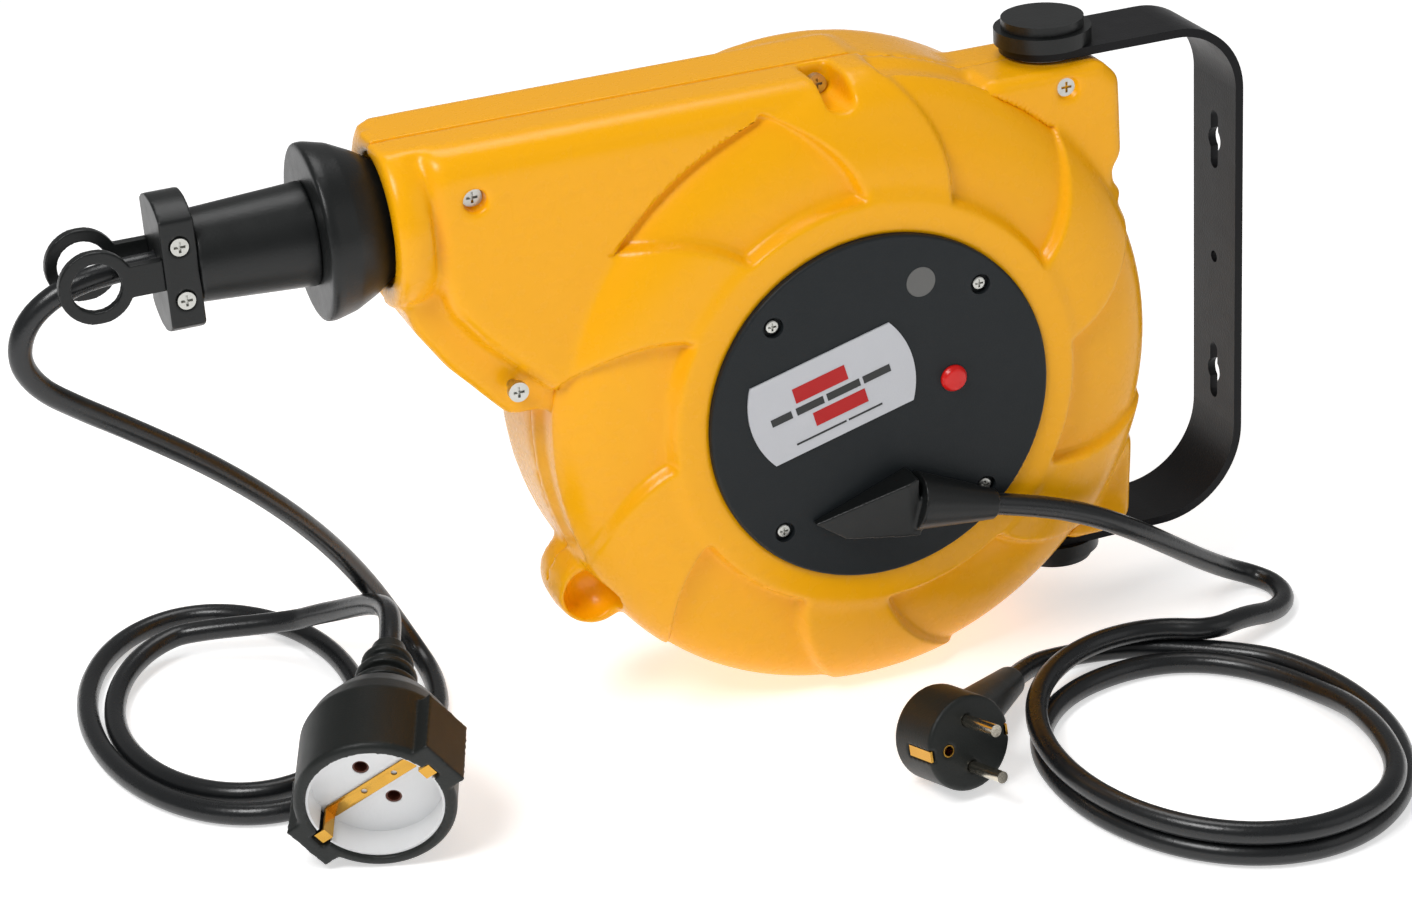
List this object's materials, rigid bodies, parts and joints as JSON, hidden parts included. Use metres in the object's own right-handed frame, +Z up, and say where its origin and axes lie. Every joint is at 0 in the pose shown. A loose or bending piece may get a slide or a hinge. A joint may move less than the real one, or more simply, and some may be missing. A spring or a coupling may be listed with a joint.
{
  "type": "extension cord reel",
  "caption": "Spring-driven cord reel with a moulded case on a swivelling wall bracket, a ball-stopped outlet cable with a rubber coupling, and a mains lead with an angled plug.",
  "frame": {"origin": "middle of the bracket's two keyhole slots, on the strap's wall face", "axes": "+X into the wall, -Y the front of the reel where the label is, +Z up along the swivel axis"},
  "size_m": [0.5106, 0.4105, 0.265],
  "materials": {
    "black_strap": "powder-coated, satin",
    "black_cap": "fine grain",
    "yellow_shell": "satin moulding",
    "black_cover": "fine grain",
    "screw_steel": "zinc-plated",
    "nylon": "natural",
    "plate_foil": "printed foil",
    "red_button": "gloss",
    "grey_plug": "satin",
    "cord_rubber": "smooth rubber sheath",
    "moulded_rubber": "moulded rubber",
    "plain_steel": "turned",
    "spring_steel": "blued strip",
    "brass": "stamped",
    "nickel_pin": "nickel-plated",
    "phenolic": "moulded",
    "drum_plastic": "moulded",
    "white_insert": "satin"
  },
  "bodies": {
    "bracket": {"wall_strap": "black_strap", "pivot_bolts": "screw_steel", "pivot_nuts": "screw_steel", "pivot_caps": "black_cap"},
    "housing": {"front_shell": "yellow_shell", "rear_shell": "yellow_shell", "swivel_bushes": "nylon", "bush_set_screw": "screw_steel", "shell_screws": "screw_steel", "front_cover": "black_cover", "cover_screws": "screw_steel", "name_plate": "plate_foil", "thermal_cutout": "phenolic", "inspection_plug": "grey_plug", "lead_gland": "black_cover", "gland_clamp": "black_cover", "inner_lead": "cord_rubber", "drum_axle": "plain_steel", "brush_block": "phenolic", "contact_brushes": "brass", "pawl_post": "plain_steel", "guide_frame": "black_cover", "roller_pins": "plain_steel", "mains_lead": "cord_rubber", "mains_coil": "cord_rubber", "plug_body": "moulded_rubber", "plug_pins": "nickel_pin", "plug_earth_clips": "brass"},
    "drum": {"drum_core": "drum_plastic", "drum_flange": "drum_plastic", "drum_screws": "screw_steel", "drum_bushes": "brass", "ratchet_ring": "plain_steel", "ring_carrier": "phenolic", "slip_rings": "brass", "mainspring": "spring_steel", "spring_lid": "drum_plastic", "wound_cable": "cord_rubber"},
    "pawl": {"pawl": "plain_steel", "pawl_spring": "spring_steel"},
    "button": {"reset_button": "red_button"},
    "upper_roller": {"upper_roller": "nylon"},
    "lower_roller": {"lower_roller": "nylon"},
    "cable_end": {"inner_cable": "cord_rubber", "stop_dome": "moulded_rubber", "stop_sleeve": "moulded_rubber", "stop_collar": "black_cover", "collar_screws": "screw_steel", "stop_ears": "black_cover", "outlet_cord": "cord_rubber", "outlet_coil": "cord_rubber", "coupling_body": "moulded_rubber", "coupling_insert": "white_insert", "coupling_contacts": "brass", "coupling_earth_clips": "brass"}
  },
  "joints": [
    {"name": "housing_swivel", "type": "hinge", "parent": "bracket", "child": "housing", "pos_m": [-0.081, 0, 0], "axis": [0, 0, 1], "range_deg": [-90, 20]},
    {"name": "drum_spin", "type": "hinge", "parent": "housing", "child": "drum", "pos_m": [-0.177, 0, -0.012], "axis": [0, -1, 0], "range_deg": [0, 90], "stiffness_Nm_per_rad": 0.25, "springref_deg": -171.89},
    {"name": "cable_pull", "type": "slide", "parent": "housing", "child": "cable_end", "axis": [-1, 0, 0], "range_m": [0, 0.158]},
    {"name": "upper_roller_spin", "type": "hinge", "parent": "housing", "child": "upper_roller", "pos_m": [-0.3415, 0, 0.0982], "axis": [0, 1, 0], "range_deg": [0, 1640]},
    {"name": "lower_roller_spin", "type": "hinge", "parent": "housing", "child": "lower_roller", "pos_m": [-0.3415, 0, 0.0778], "axis": [0, -1, 0], "range_deg": [0, 1640]},
    {"name": "pawl_swing", "type": "hinge", "parent": "housing", "child": "pawl", "pos_m": [-0.10056, 0.026, -0.07172], "axis": [0, 1, 0], "range_deg": [0, 10], "stiffness_Nm_per_rad": 0.02},
    {"name": "button_press", "type": "slide", "parent": "housing", "child": "button", "axis": [0, 1, 0], "range_m": [0, 0.0025], "stiffness_N_per_m": 400}
  ],
  "couplings": [
    {"joint": "cable_pull", "follows": "drum_spin", "m_per_rad": 0.1},
    {"joint": "upper_roller_spin", "follows": "drum_spin", "ratio": 18.182},
    {"joint": "lower_roller_spin", "follows": "drum_spin", "ratio": 18.182}
  ]
}
